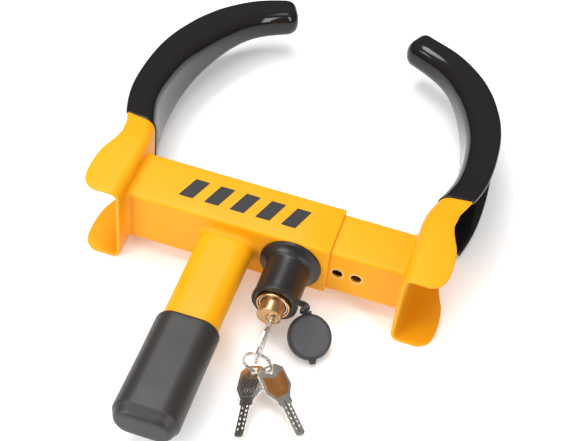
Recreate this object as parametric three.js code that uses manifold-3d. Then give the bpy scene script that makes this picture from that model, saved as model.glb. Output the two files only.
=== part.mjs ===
// An adjustable wheel clamp for trailer and caravan wheels, in millimetres.
// Two pressed steel channel jaws with black dipped arms close round a tyre. One is welded to a square outer
// tube, the other to an inner tube that slides in it. A push-in plunger lock on the outer tube drops a steel
// bolt into a row of holes in the inner tube. A flat handle with a rubber grip stands out of the front.
//
// It is drawn in a working frame: x = 0 on the fixed jaw's web, +X along the tubes, +Y towards the jaw tips,
// and the tubes' axis at y = 0, z = 0. The whole group is then moved so that the middle of the underside of
// its bounding box is the origin.
import * as THREE from "three";
import { mergeVertices } from "three/addons/utils/BufferGeometryUtils.js";
import Module from "manifold-3d";

const wasm = await Module();
wasm.setup();

// ---- Driving dimensions ----
const GAP = 0.3; // clearance between touching pieces
const JAW_SPREAD = 239; // between the two webs as drawn
const OUTER_TUBE = { side: 52, wall: 2.5, corner: 3, start: GAP, end: 176 };
const INNER_TUBE = { side: 46.4, wall: 2.5, corner: 3, start: 62, end: JAW_SPREAD - GAP };
const BOLT_HOLES = { radius: 5, at: [106, 125.5, 145, 164.5, 184, 200.2] }; // in the inner tube's front wall
const SHEET = { thick: 3, bend: 8 }; // the jaws' pressed plate
const COAT = 0.9; // the dipped sleeve's wall
const SLEEVE_EDGE = { fixed: 51, sliding: 56.5, slope: 10, start: 84 }; // the dip lines, sloped in degrees
const STEEL_TIP = 316; // path length where the steel under the sleeve ends
const FINGER_START = 291; // path length where the arm closes into a solid finger
const TIP_REACH = { fixed: 0, sliding: 9.5 }; // the straight end beyond the path, before the dome
const HANDLE = { x: 89.4, width: 47, height: 27, wall: 3, end: -204 };
const GRIP = { width: 53.5, height: 33, start: -118, end: -219 };
const LOCK_X = 145; // the lock's axis
const TUBE_FRONT = -OUTER_TUBE.side / 2;
const HOUSING = { radius: 16, bore: 10.6, end: -69, groove: 13.2, grooveHalf: 3 };
const PLUNGER = { radius: 10.2, face: 9.4, front: -86.5, rear: -46, travel: 15 };
const BOLT = { radius: 4.4, stud: 3, tip: -24.3 };
const CORE = { x: LOCK_X + 3.7, radius: 5.7, end: -58, tail: 2 };
const KEYWAY = { width: 2.8, height: 9.4, end: -67 };
const LUG = { y: -54, half: 2, inner: CORE.x - 3.8, length: 9.4 };
const PIN_ROW = [-82, -76.5, -71];
const BAND = { radius: 19.4, start: -62.5, end: -71 };
const KEY = { length: 60, thick: 2, blade: 8.6, hole: 3.4, holeAt: 4.5, end: -129 };
const RING = { radius: 11.6, wire: 0.9, centre: [149.5, KEY.end + KEY.holeAt - 0.5, -10.2] };
const CAP = { radius: 18.8, depth: 6, centre: [179.4, -76, -22.3], face: [0.397, -0.403, 0.825] };

// The jaw's path: [length along the web, turn inwards in degrees, flange width, half height]. The first rows
// are the rounded ears, then the waist, then the arm that bows out and hooks in over the tyre.
const JAW_FRONT = -42;
const JAW_PATH = [
  [0, 0, 11, 39.4],
  [0.8, 0, 23, 39.6],
  [4, 0, 29.7, 39.6],
  [9, 0, 33.2, 39.6],
  [17, 0, 35.2, 39.6],
  [34, 0, 35.4, 39.6],
  [46, 0, 33.8, 39.6],
  [54, 0, 30.8, 39.6],
  [66, 0, 27.4, 39.4],
  [75, -6, 26.4, 38.8],
  [86, -14, 26, 37.9],
  [98, -20, 24.4, 37],
  [118, -15, 24.7, 34.9],
  [140, -6, 25.5, 31.5],
  [162, 1, 26.2, 28.4],
  [184, 6, 27.2, 25.6],
  [206, 12.5, 28.6, 22.6],
  [228, 19, 29.6, 19.8],
  [250, 24, 29.8, 17.3],
  [272, 31, 28.6, 15.4],
  [293, 44, 26, 14.3],
  [312, 59, 23.6, 13.5],
  [327, 65, 22.2, 12.6],
];

// ---- Helpers ----
const radians = THREE.MathUtils.degToRad;

// A closed geometry as a solid, with its faces turned outwards.
function solid(geometry) {
  const bare = new THREE.BufferGeometry().setAttribute("position", geometry.getAttribute("position"));
  if (geometry.index) bare.setIndex(geometry.index);
  const merged = mergeVertices(bare, 1e-4);
  const triVerts = new Uint32Array(merged.index.array);
  const vertProperties = new Float32Array(merged.attributes.position.array);
  const build = () => new wasm.Manifold(new wasm.Mesh({ numProp: 3, vertProperties, triVerts }));
  const made = build();
  if (made.volume() > 0) return made;
  for (let i = 0; i < triVerts.length; i += 3) {
    [triVerts[i], triVerts[i + 1]] = [triVerts[i + 1], triVerts[i]];
  }
  return build();
}

function geometryOf(body) {
  const mesh = body.getMesh();
  const positions = new Float32Array(mesh.numVert * 3);
  for (let i = 0; i < mesh.numVert; i++) {
    positions.set(mesh.vertProperties.subarray(i * mesh.numProp, i * mesh.numProp + 3), i * 3);
  }
  const geometry = new THREE.BufferGeometry();
  geometry.setAttribute("position", new THREE.BufferAttribute(positions, 3));
  geometry.setIndex(new THREE.BufferAttribute(new Uint32Array(mesh.triVerts), 1));
  geometry.computeVertexNormals();
  return geometry;
}

const cut = (body, ...tools) => tools.reduce((rest, tool) => rest.subtract(tool), body);
const join = (body, ...others) => others.reduce((whole, other) => whole.add(other), body);

function box(x0, x1, y0, y1, z0, z1) {
  const geometry = new THREE.BoxGeometry(x1 - x0, y1 - y0, z1 - z0);
  return solid(geometry.translate((x0 + x1) / 2, (y0 + y1) / 2, (z0 + z1) / 2));
}

// A turned piece: [radius, y] points round an axis along Y, either closed on itself or ending on the axis.
function turned(points, x, z = 0, segments = 40) {
  const profile = points.map(([r, y]) => new THREE.Vector2(r, y));
  return solid(new THREE.LatheGeometry(profile, segments).translate(x, 0, z));
}

const rod = (radius, y0, y1, x, z = 0, segments = 24) =>
  turned([[0, y0], [radius, y0], [radius, y1], [0, y1]], x, z, segments);

const ring = (outer, inner, y0, y1, x, segments = 40) =>
  turned([[inner, y0], [outer, y0], [outer, y1], [inner, y1], [inner, y0]], x, 0, segments);

// A round rod along X from x0 to x1.
function crossRod(radius, x0, x1, y, z, segments = 14) {
  const geometry = new THREE.CylinderGeometry(radius, radius, x1 - x0, segments);
  return solid(geometry.rotateZ(Math.PI / 2).translate((x0 + x1) / 2, y, z));
}

function roundedRectangle(width, height, corner) {
  const shape = new THREE.Shape();
  const [a, b, r] = [width / 2, height / 2, corner];
  shape.moveTo(a, b - r);
  shape.absarc(a - r, b - r, r, 0, Math.PI / 2);
  shape.absarc(-a + r, b - r, r, Math.PI / 2, Math.PI);
  shape.absarc(-a + r, -b + r, r, Math.PI, 1.5 * Math.PI);
  shape.absarc(a - r, -b + r, r, 1.5 * Math.PI, 2 * Math.PI);
  shape.closePath();
  return shape;
}

function extrude(shape, depth, curveSegments = 4) {
  return new THREE.ExtrudeGeometry(shape, { depth, bevelEnabled: false, curveSegments });
}

// A solid through rings of points that all have the same count, closed at both ends by flat caps whose
// triangles are found on the ring's own [u, v] outline.
function loft(rings, outline) {
  const count = outline.length;
  const positions = rings.flat(2);
  const faces = [];
  for (let i = 0; i + 1 < rings.length; i++) {
    for (let j = 0; j < count; j++) {
      const next = (j + 1) % count;
      const [a, b, c, d] = [i * count + j, i * count + next, (i + 1) * count + next, (i + 1) * count + j];
      faces.push(a, b, c, a, c, d);
    }
  }
  const flat = THREE.ShapeUtils.triangulateShape(outline.map(([u, v]) => new THREE.Vector2(u, v)), []);
  const turn = THREE.ShapeUtils.area(outline.map(([u, v]) => new THREE.Vector2(u, v))) > 0;
  const last = (rings.length - 1) * count;
  for (const [a, b, c] of flat) {
    const [p, q] = turn ? [b, c] : [c, b];
    faces.push(a, q, p, last + a, last + p, last + q);
  }
  const geometry = new THREE.BufferGeometry();
  geometry.setAttribute("position", new THREE.BufferAttribute(new Float32Array(positions), 3));
  geometry.setIndex(faces);
  return solid(geometry);
}

// A coil spring along Y or X: a round wire swept along a helix.
class Helix extends THREE.Curve {
  constructor(radius, start, end, turns, place) {
    super();
    Object.assign(this, { radius, start, end, turns, place });
  }
  getPoint(t) {
    const angle = 2 * Math.PI * this.turns * t;
    const along = this.start + (this.end - this.start) * t;
    return this.place(this.radius * Math.cos(angle), along, this.radius * Math.sin(angle));
  }
}

function sweep(curve, shape, steps, curveSegments = 3) {
  return solid(new THREE.ExtrudeGeometry(shape, { steps, extrudePath: curve, curveSegments }));
}

// A flat strap through the given points, its width turning from one direction to the other.
function ribbon(points, widthStart, widthEnd, width, thick) {
  const curve = new THREE.CatmullRomCurve3(points);
  const [a, b, c] = [width / 2, thick / 2, 0.5];
  const upper = [[a, b - c], [a - c, b], [c - a, b], [-a, b - c]];
  const outline = [...upper, ...upper.map(([u, v]) => [-u, -v])];
  const steps = 12;
  const rings = [];
  for (let i = 0; i <= steps; i++) {
    const [centre, tangent] = [curve.getPoint(i / steps), curve.getTangent(i / steps)];
    const across = widthStart.clone().lerp(widthEnd, i / steps).projectOnPlane(tangent).normalize();
    const up = new THREE.Vector3().crossVectors(tangent, across);
    rings.push(
      outline.map(([u, v]) => centre.clone().addScaledVector(across, u).addScaledVector(up, v).toArray()),
    );
  }
  return loft(rings, outline);
}

function circle(radius) {
  const shape = new THREE.Shape();
  shape.absarc(0, 0, radius, 0, 2 * Math.PI);
  return shape;
}

// ---- Jaws ----
// Stations along the web: its place, the way it turns, the flange width and the half height.
function jawStations() {
  const stations = [];
  let [x, y] = [0, JAW_FRONT];
  JAW_PATH.forEach(([length, turn, width, half], i) => {
    if (i > 0) {
      const [before, turnBefore] = JAW_PATH[i - 1];
      const middle = radians((turn + turnBefore) / 2);
      x -= Math.sin(middle) * (length - before);
      y += Math.cos(middle) * (length - before);
    }
    stations.push({ length, x, y, turn: radians(turn), width, half });
  });
  return stations;
}

const stations = jawStations();

// The station at any length along the path, found between its two neighbours.
function stationAt(length) {
  const i = Math.max(1, stations.findIndex((s) => s.length >= length));
  const [a, b] = [stations[i - 1], stations[i]];
  const t = (length - a.length) / (b.length - a.length);
  const mix = (key) => a[key] + (b[key] - a[key]) * t;
  return { length, x: mix("x"), y: mix("y"), turn: mix("turn"), width: mix("width"), half: mix("half") };
}

const BEND_STEPS = 3;

// The channel's outline as [outwards, up] points, its surface grown by the given amount all round.
function channelOutline({ width, half }, grow) {
  const { thick, bend } = SHEET;
  const arc = (radius, sign, reverse) => {
    const points = [];
    for (let i = 0; i <= BEND_STEPS; i++) {
      const angle = (Math.PI / 2) * (i / BEND_STEPS);
      points.push([bend - radius * Math.sin(angle), sign * (half - bend + radius * Math.cos(angle))]);
    }
    return reverse ? points.reverse() : points;
  };
  const [outer, inner, tip] = [bend + grow, bend - thick - grow, width + grow];
  const under = half - thick - grow;
  return [
    [tip, half + grow],
    ...arc(outer, 1, false),
    ...arc(outer, -1, true),
    [tip, -half - grow],
    [tip, -under],
    ...arc(inner, -1, false),
    ...arc(inner, 1, true),
    [tip, under],
  ];
}

// The finger's outline: a rounded rectangle on the same web line.
function fingerOutline({ width, half }, grow) {
  const corner = 9;
  const points = [];
  const [u0, u1, v] = [-grow, width + grow, half + grow];
  const corners = [[u1 - corner, v - corner, 0], [u0 + corner, v - corner, 90]];
  corners.push([u0 + corner, corner - v, 180], [u1 - corner, corner - v, 270]);
  for (const [u, w, start] of corners) {
    for (let i = 0; i <= 4; i++) {
      const angle = radians(start + (90 * i) / 4);
      points.push([u + corner * Math.cos(angle), w + corner * Math.sin(angle)]);
    }
  }
  return points;
}

// The outline's points in space at a station, on the left jaw (side -1) or the right one (side 1).
function placeOutline(outline, station, side) {
  const web = side < 0 ? 0 : JAW_SPREAD;
  return outline.map(([out, up]) => {
    const x = station.x + out * Math.cos(station.turn);
    const y = station.y + out * Math.sin(station.turn);
    return [web + side * x, y, up];
  });
}

function channel(side, from, to, grow) {
  const inside = stations.filter((s) => s.length > from + 1 && s.length < to - 1);
  const used = [stationAt(from), ...inside, stationAt(to)];
  const rings = used.map((s) => placeOutline(channelOutline(s, grow), s, side));
  return loft(rings, channelOutline(used[0], grow));
}

// The closed finger at the arm's end, with a domed tip.
function finger(side) {
  const end = stations.at(-1);
  const inside = stations.filter((s) => s.length > FINGER_START + 1 && s.length < end.length);
  const rings = [stationAt(FINGER_START), ...inside, end].map((s) =>
    placeOutline(fingerOutline(s, GAP + COAT), s, side),
  );
  const outline = fingerOutline(end, GAP + COAT);
  const dome = 12;
  for (const angle of [25, 48, 68, 82]) {
    const reach = (side < 0 ? TIP_REACH.fixed : TIP_REACH.sliding) + dome * Math.sin(radians(angle));
    const shrink = 0.3 + 0.7 * Math.cos(radians(angle));
    const tip = {
      ...end,
      x: end.x - Math.sin(end.turn) * reach,
      y: end.y + Math.cos(end.turn) * reach,
    };
    const middle = end.width / 2;
    const shrunk = outline.map(([u, v]) => [middle + (u - middle) * shrink, v * shrink]);
    rings.push(placeOutline(shrunk, tip, side));
  }
  return loft(rings, outline);
}

const jaw = (side) => channel(side, 0, STEEL_TIP, 0);

function jawSleeve(side) {
  const coat = channel(side, SLEEVE_EDGE.start, STEEL_TIP + 4, GAP + COAT);
  const steel = channel(side, SLEEVE_EDGE.start - 10, STEEL_TIP + 0.5, GAP);
  const big = 200;
  const blank = new THREE.BoxGeometry(big, big, big).translate(0, -big / 2, 0);
  const web = side < 0 ? 0 : JAW_SPREAD;
  const edge = side < 0 ? SLEEVE_EDGE.fixed : SLEEVE_EDGE.sliding;
  const before = solid(blank.rotateZ(side * radians(SLEEVE_EDGE.slope)).translate(web, edge, 0));
  return cut(join(coat, finger(side)), steel, before);
}

// ---- Tubes and handle ----
// A square tube along X between its start and end.
function squareTube({ side, wall, corner, start, end }) {
  const outline = roundedRectangle(side, side, corner);
  outline.holes.push(roundedRectangle(side - 2 * wall, side - 2 * wall, Math.max(corner - wall, 0.8)));
  const geometry = extrude(outline, end - start);
  return solid(geometry.rotateX(Math.PI / 2).rotateZ(Math.PI / 2).translate(start, 0, 0));
}

function outerTube() {
  return cut(squareTube(OUTER_TUBE), rod(5.2, TUBE_FRONT - 1, TUBE_FRONT + OUTER_TUBE.wall + 1, LOCK_X));
}

function innerTube() {
  const front = -INNER_TUBE.side / 2;
  const drills = BOLT_HOLES.at.map((x) => rod(BOLT_HOLES.radius, front - 1, front + INNER_TUBE.wall + 1, x));
  return cut(squareTube(INNER_TUBE), ...drills);
}

// A flat oval along Y.
function ovalBar(width, height, y0, y1) {
  const geometry = extrude(roundedRectangle(width, height, height / 2 - 0.01), y1 - y0, 10);
  return solid(geometry.rotateX(-Math.PI / 2).translate(HANDLE.x, y0, 0));
}

function handleTube() {
  const start = TUBE_FRONT - GAP;
  const { width, height, wall, end } = HANDLE;
  const hollow = ovalBar(width - 2 * wall, height - 2 * wall, end - 1, start + 1);
  return cut(ovalBar(width, height, end, start), hollow);
}

function ovalOutline(width, height) {
  const points = [];
  const radius = height / 2;
  for (const [centre, start] of [[width / 2 - radius, -90], [radius - width / 2, 90]]) {
    for (let i = 0; i <= 10; i++) {
      const angle = radians(start + 18 * i);
      points.push([centre + radius * Math.cos(angle), radius * Math.sin(angle)]);
    }
  }
  return points;
}

// The grip swells from a rounded shoulder and closes over the handle's end.
function handleGrip() {
  const { width, height, start, end } = GRIP;
  const shoulder = [[0, 4.4], [0.6, 2.4], [2, 0.9], [4.2, 0]].map(([y, inset]) => [start - y, inset]);
  const crown = [[6.5, 0], [4.6, 0.7], [2.4, 2.6], [0.8, 5.4], [0, 9]].map(([y, inset]) => [end + y, inset]);
  const rings = [...shoulder, ...crown].map(([y, inset]) =>
    ovalOutline(width - 2 * inset, height - 2 * inset).map(([x, z]) => [HANDLE.x + x, y, z]),
  );
  const socket = ovalBar(HANDLE.width + 2 * GAP, HANDLE.height + 2 * GAP, HANDLE.end - 1, start + 5);
  return cut(loft(rings, ovalOutline(width, height)), socket);
}

// ---- Lock ----
function lockHousing() {
  const { radius, bore, end, groove, grooveHalf } = HOUSING;
  const [back, recess] = [TUBE_FRONT - GAP, { radius: 14.3, depth: 5 }];
  const profile = [[bore, back], [radius, back], [radius, end], [recess.radius, end]];
  profile.push([recess.radius, end + recess.depth], [bore, end + recess.depth]);
  for (const y of [LUG.y, LUG.y + PLUNGER.travel]) {
    const [near, far] = [y - grooveHalf, y + grooveHalf];
    profile.push([bore, near], [groove, near], [groove, far], [bore, far]);
  }
  profile.push([bore, back]);
  return turned(profile, LOCK_X);
}

// The moulded cover: a coned flange against the tube, a step, a straight barrel and an inward lip.
function lockBoot() {
  const back = TUBE_FRONT - GAP;
  const inside = HOUSING.radius + GAP;
  const [front, lip] = [-71.8, 14.3];
  const profile = [[inside, back], [25.4, back], [26, -26.4], [26, -28.6], [25.3, -29.6], [21.5, -33]];
  profile.push([20, -34.2], [19.2, -35.4], [18.8, -37.2], [18.7, BAND.start + GAP]);
  profile.push([17.9, BAND.start], [17.9, front + 0.6], [17.3, front], [lip, front]);
  profile.push([lip, HOUSING.end - GAP], [inside, HOUSING.end - GAP], [inside, back]);
  return turned(profile, LOCK_X);
}

const lockCollar = () => {
  const [inner, outer, back, front] = [12.5, 14, -64.4, -75];
  const rim = [[outer, front + 0.4], [outer - 0.4, front], [inner + 0.4, front], [inner, front + 0.4]];
  return turned([[inner, back], [outer, back], ...rim, [inner, back]], LOCK_X);
};

const retainingRing = () =>
  turned([[10.7, -64.4], [12.2, -64.4], [12.2, -73.6], [10.7, -74.2], [10.7, -64.4]], LOCK_X);

const springWasher = () => ring(10.2, 5.4, TUBE_FRONT - 0.9, TUBE_FRONT - GAP, LOCK_X);

function lockPlunger() {
  const { radius, face, front, rear } = PLUNGER;
  const profile = [[0, front], [face, front], [radius, front + 0.8]];
  profile.push([radius, rear - 0.5], [radius - 0.5, rear], [0, rear]);
  const body = turned(profile, LOCK_X, 0, 48);
  const coreBore = rod(CORE.radius + GAP, front - 1, -50.5, CORE.x, 0, 32);
  const studHole = rod(BOLT.stud + GAP, -51, rear + 1, LOCK_X);
  const { y, half, length, inner } = LUG;
  const outer = inner - length;
  const window = box(outer - 3, inner + 1, y - half - GAP, y + half + GAP, -half - GAP, half + GAP);
  const chambers = PIN_ROW.map((at) => crossRod(1.2, LOCK_X - 8.6, CORE.x - 4, at, 0));
  return cut(body, coreBore, studHole, window, ...chambers);
}

function lockBolt() {
  const { radius, stud, tip } = BOLT;
  const step = PLUNGER.rear + GAP;
  const profile = [[0, -50.2], [stud, -50.2], [stud, step], [radius, step]];
  profile.push([radius, tip - 1.2], [radius - 1, tip], [0, tip]);
  return turned(profile, LOCK_X);
}

// The return spring round the bolt, between the plunger and the washer.
function plungerSpring() {
  const place = (a, along, b) => new THREE.Vector3(LOCK_X + a, along, b);
  return sweep(new Helix(7.4, PLUNGER.rear + 1, TUBE_FRONT - 2, 3, place), circle(0.6), 54);
}

// The core holds the keyway, three pin bores and a tail for the cam.
function lockCore() {
  const { x, radius, end, tail } = CORE;
  const [front, tailEnd] = [PLUNGER.front + 0.2, -51.4];
  const profile = [[0, front], [radius, front], [radius, end], [tail, end], [tail, tailEnd], [0, tailEnd]];
  const body = turned(profile, x, 0, 32);
  const { width, height } = KEYWAY;
  const slot = box(x - width / 2, x + width / 2, PLUNGER.front - 1, KEYWAY.end, -height / 2, height / 2);
  const bores = PIN_ROW.map((at) => crossRod(1.2, x - radius - 1, x, at, 0));
  return cut(body, slot, ...bores);
}

// The cam's rim is low where it faces the lug and rises evenly over the quarter turn that drives it out.
function lockCam() {
  const [low, rise] = [3.3, 2];
  const rim = [];
  for (let angle = 0; angle < 360; angle += 10) {
    const lifted = angle > 300 ? Math.max(0, 1 - (angle - 300) / 20) : Math.min(angle / 90, 1);
    const radius = low + rise * lifted;
    const around = radians(180 - angle);
    rim.push(new THREE.Vector2(radius * Math.cos(around), radius * Math.sin(around)));
  }
  const shape = new THREE.Shape(rim);
  const cam = solid(extrude(shape, 4).rotateX(Math.PI / 2).translate(CORE.x, LUG.y + 2, 0));
  return cut(cam, rod(CORE.tail + GAP, LUG.y - 3, LUG.y + 3, CORE.x));
}

// The lug's inner end is a narrow nose, so that it follows the cam.
function lockingLug() {
  const { y, half, inner, length } = LUG;
  const nose = box(inner - 4, inner, y - half, y + half, -0.7, 0.7);
  return join(box(inner - length, inner - 3, y - half, y + half, -half, half), nose);
}

const keyPin = (y) => crossRod(0.9, CORE.x - 5.3, CORE.x - 1.4, y, 0);
const driverPin = (y) => crossRod(0.9, CORE.x - 8.9, CORE.x - 5.85, y, 0);

function pinSpring(y) {
  const place = (a, along, b) => new THREE.Vector3(along, y + a, b);
  return sweep(new Helix(0.65, LOCK_X - 8.1, CORE.x - 9.4, 3, place), circle(0.2), 30, 2);
}

// ---- Dust cap ----
const capAxis = new THREE.Vector3(...CAP.face).normalize();
const capCentre = new THREE.Vector3(...CAP.centre);
// The way from the cap's middle to its strap, in the plane of its face.
const capUp = new THREE.Vector3(-0.45, 0.78, 0.42).projectOnPlane(capAxis).normalize();
const capAcross = new THREE.Vector3().crossVectors(capUp, capAxis);

function inCapFrame(geometry) {
  const basis = new THREE.Matrix4().makeBasis(capAcross, capAxis, capUp.clone().negate());
  return geometry.applyMatrix4(basis.setPosition(capCentre));
}

// A domed disc with a rim behind it that grips the lock's front, and a pull tab.
function dustCap() {
  const { radius, depth } = CAP;
  const profile = [[0, 0.7], [radius - 4, 0.6], [radius - 1, 0.2], [radius, -0.8]];
  profile.push([radius, -depth], [radius - 1.8, -depth], [radius - 1.8, -2], [0, -2]);
  const points = profile.map(([r, y]) => new THREE.Vector2(r, y));
  const disc = solid(inCapFrame(new THREE.LatheGeometry(points, 40)));
  const plate = (width, length, corner, thick, top, along) => {
    const flat = extrude(roundedRectangle(width, length, corner), thick).rotateX(Math.PI / 2);
    return solid(inCapFrame(flat.translate(0, top, along)));
  };
  const tab = plate(6, 5, 1.5, 1.6, -0.6, radius + 1.6);
  const lug = plate(7, 3, 1.2, 2, -0.8, -radius - 0.6);
  return join(disc, tab, lug);
}

// The band round the boot and the strap that leads to the cap.
function capBand() {
  const { radius, start, end } = BAND;
  const inside = 18.2;
  const back = start - GAP;
  const profile = [[inside, back], [radius - 0.5, back], [radius, start - 1.5], [radius, end + 1.2]];
  profile.push([radius - 0.7, end], [inside, end], [inside, back]);
  const strapEnd = capCentre.clone().addScaledVector(capUp, CAP.radius + 2.5).addScaledVector(capAxis, -1.8);
  const strap = ribbon(
    [
      new THREE.Vector3(LOCK_X + 17.8, -66, 2.6),
      new THREE.Vector3(LOCK_X + 22.6, -65.4, 3),
      new THREE.Vector3(LOCK_X + 25, -63.6, -3.4),
      strapEnd.clone().addScaledVector(capUp, 4.5),
      strapEnd,
    ],
    new THREE.Vector3(0.2, 0.97, 0),
    capAcross,
    5.8,
    1.9,
  );
  return join(turned(profile, LOCK_X), cut(strap, rod(inside + 0.3, start + 4, end - 4, LOCK_X, 0, 40)));
}

// ---- Keys ----
// A key in its own frame: bow end at the origin, blade towards +Y, flat faces towards +X and -X.
function key() {
  const { length, thick, blade, hole, holeAt } = KEY;
  const bow = [[0, 4.6], [5, 9], [9, 10.4], [16, 10.4], [23, 6.6], [26.5, 6.6], [27.5, blade / 2]];
  const half = [...bow, [length - 3, blade / 2], [length, 2]];
  const outline = [...half, ...half.map(([y, z]) => [y, -z]).reverse()];
  const shape = new THREE.Shape(outline.map(([y, z]) => new THREE.Vector2(y, z)));
  const blank = solid(extrude(shape, thick).translate(0, 0, -thick / 2).applyMatrix4(KEY_TURN));
  const eye = crossRod(hole, -thick, thick, holeAt, 0, 20);
  const dimple = (y, side) => {
    const face = (side * thick) / 2;
    return crossRod(1.1, face - 0.45, face + 0.45, y, side * 1.6, 10);
  };
  const dimples = [36, 41.5, 47, 52.5].flatMap((y) => [dimple(y, -1), dimple(y, 1)]);
  return cut(blank, eye, ...dimples);
}

const KEY_TURN = new THREE.Matrix4().makeBasis(
  new THREE.Vector3(0, 1, 0),
  new THREE.Vector3(0, 0, 1),
  new THREE.Vector3(1, 0, 0),
);

// The point on the key ring's wire at an angle in degrees from +X.
function onRing(degrees) {
  const [x, y, z] = RING.centre;
  const angle = radians(degrees);
  return new THREE.Vector3(x + RING.radius * Math.cos(angle), y, z + RING.radius * Math.sin(angle));
}

// A spare key's placing: its eye on the ring's wire, its blade towards the given point, and its flat face
// leaning by an angle in degrees from +X towards +Z.
function spareKeyMatrix(degrees, towards, faceAngle) {
  const point = onRing(degrees);
  const length = new THREE.Vector3(...towards).sub(point).normalize();
  const lean = radians(faceAngle);
  const face = new THREE.Vector3(Math.cos(lean), 0, Math.sin(lean)).projectOnPlane(length).normalize();
  const width = new THREE.Vector3().crossVectors(face, length);
  const matrix = new THREE.Matrix4().makeBasis(face, length, width);
  return matrix.setPosition(point.clone().addScaledVector(length, -KEY.holeAt));
}

const keyRing = () => {
  const geometry = new THREE.TorusGeometry(RING.radius, RING.wire, 8, 36);
  return solid(geometry.rotateX(Math.PI / 2).translate(...RING.centre));
};

// ---- Materials ----
const finish = (color, roughness, metalness) =>
  new THREE.MeshStandardMaterial({ color, roughness, metalness });
const PAINT = () => finish(0xf2a71b, 0.42, 0.1);
const VINYL = () => finish(0x141313, 0.18, 0);
const RUBBER = () => finish(0x1b1b1b, 0.85, 0);
const MOULDED = () => finish(0x222121, 0.45, 0);
const CAP_RUBBER = () => finish(0x55565a, 0.7, 0);
const BRASS = () => finish(0xc8a15a, 0.3, 1);
const STEEL = () => finish(0xb9bbbd, 0.35, 1);
const NICKEL = () => finish(0xcfcac2, 0.22, 1);

// ---- Assembly ----
const clamp = new THREE.Group();

function piece(name, body, material, matrix) {
  const mesh = new THREE.Mesh(geometryOf(body), material);
  mesh.name = name;
  if (matrix) mesh.applyMatrix4(matrix);
  clamp.add(mesh);
}

piece("fixed_jaw", jaw(-1), PAINT());
piece("fixed_jaw_sleeve", jawSleeve(-1), VINYL());
piece("outer_tube", outerTube(), PAINT());
piece("handle_tube", handleTube(), PAINT());
piece("handle_grip", handleGrip(), RUBBER());
piece("lock_housing", lockHousing(), STEEL());
piece("lock_boot", lockBoot(), MOULDED());
piece("lock_collar", lockCollar(), BRASS());
piece("retaining_ring", retainingRing(), STEEL());
piece("spring_washer", springWasher(), STEEL());
piece("cap_band", capBand(), MOULDED());
piece("dust_cap", dustCap(), CAP_RUBBER());

piece("inner_tube", innerTube(), PAINT());
piece("sliding_jaw", jaw(1), PAINT());
piece("sliding_jaw_sleeve", jawSleeve(1), VINYL());

piece("lock_plunger", lockPlunger(), BRASS());
piece("lock_bolt", lockBolt(), STEEL());
piece("plunger_spring", plungerSpring(), STEEL());
piece("locking_lug", lockingLug(), STEEL());
piece("lock_core", lockCore(), BRASS());
piece("lock_cam", lockCam(), STEEL());
PIN_ROW.forEach((y, i) => {
  piece(`key_pin_${i + 1}`, keyPin(y), BRASS());
  piece(`driver_pin_${i + 1}`, driverPin(y), STEEL());
  piece(`pin_spring_${i + 1}`, pinSpring(y), STEEL());
});

piece("key_inserted", key(), NICKEL(), new THREE.Matrix4().makeTranslation(CORE.x, KEY.end, 0));
piece("key_ring", keyRing(), NICKEL());
piece("spare_key_a", key(), NICKEL(), spareKeyMatrix(-100, [153.6, -177.2, -35.8], 121));
piece("spare_key_b", key(), NICKEL(), spareKeyMatrix(-26, [196.6, -157.8, -35.8], 76));

const bounds = new THREE.Box3().setFromObject(clamp, true);
const middle = bounds.getCenter(new THREE.Vector3());
clamp.position.set(-middle.x, -middle.y, -bounds.min.z);

export default clamp;
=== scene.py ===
import math
import random

import bmesh
import bpy
import numpy as np
from mathutils import Matrix, Vector


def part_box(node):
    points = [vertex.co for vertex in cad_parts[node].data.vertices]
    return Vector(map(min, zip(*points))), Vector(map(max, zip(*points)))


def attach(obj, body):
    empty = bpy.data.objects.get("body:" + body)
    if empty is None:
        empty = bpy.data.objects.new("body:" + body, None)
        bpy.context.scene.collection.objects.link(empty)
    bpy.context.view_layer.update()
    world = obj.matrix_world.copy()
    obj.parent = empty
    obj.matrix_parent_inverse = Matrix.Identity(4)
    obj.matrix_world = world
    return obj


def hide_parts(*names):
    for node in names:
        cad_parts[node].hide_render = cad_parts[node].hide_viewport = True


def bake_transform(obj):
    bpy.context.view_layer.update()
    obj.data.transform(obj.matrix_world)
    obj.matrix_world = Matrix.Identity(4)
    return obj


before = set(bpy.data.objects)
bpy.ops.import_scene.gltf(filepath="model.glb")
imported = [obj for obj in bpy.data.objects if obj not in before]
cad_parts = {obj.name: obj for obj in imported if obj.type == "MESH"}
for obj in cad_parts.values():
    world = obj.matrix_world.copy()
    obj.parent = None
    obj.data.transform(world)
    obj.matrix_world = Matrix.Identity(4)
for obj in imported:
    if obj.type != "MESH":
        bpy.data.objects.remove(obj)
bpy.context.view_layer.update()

# ---- Driving dimensions, as in the CAD ----
MM = 0.001
JAW_SPREAD = 239.0
OUTER = {"half": 26.0, "corner": 3.4, "end": 176.0, "inside": 23.5}
INNER = {"half": 23.2, "corner": 3.4, "start": 62.0, "inside": 20.7}
BOLT_HOLES = (106, 125.5, 145, 164.5, 184, 200.2)
SHEET = {"thick": 3.0, "bend": 8.5}
COAT = 1.2
DIP = {-1: 50.0, 1: 59.2}
DIP_SLOPE = 10.0
HANDLE = {"x": 89.4, "width": 47.0, "height": 27.0}
GRIP = {"width": 53.5, "height": 33.0, "start": -118.0, "end": -219.0}
LOCK_X = 145.0
CORE_X = LOCK_X + 3.7
PLUNGER_FRONT = -86.5
KEY = {"length": 60.0, "thick": 2.0, "blade": 8.6, "eye_at": 4.5, "end": -129.0}
RING = {"radius": 11.6, "centre": Vector((149.5, -125.0, -10.2))}
CAP = {"radius": 18.8, "centre": Vector((179.4, -76.0, -22.3))}
CAP_FACE = Vector((0.397, -0.403, 0.825)).normalized()
FLOOR_Z = -39.6

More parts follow.
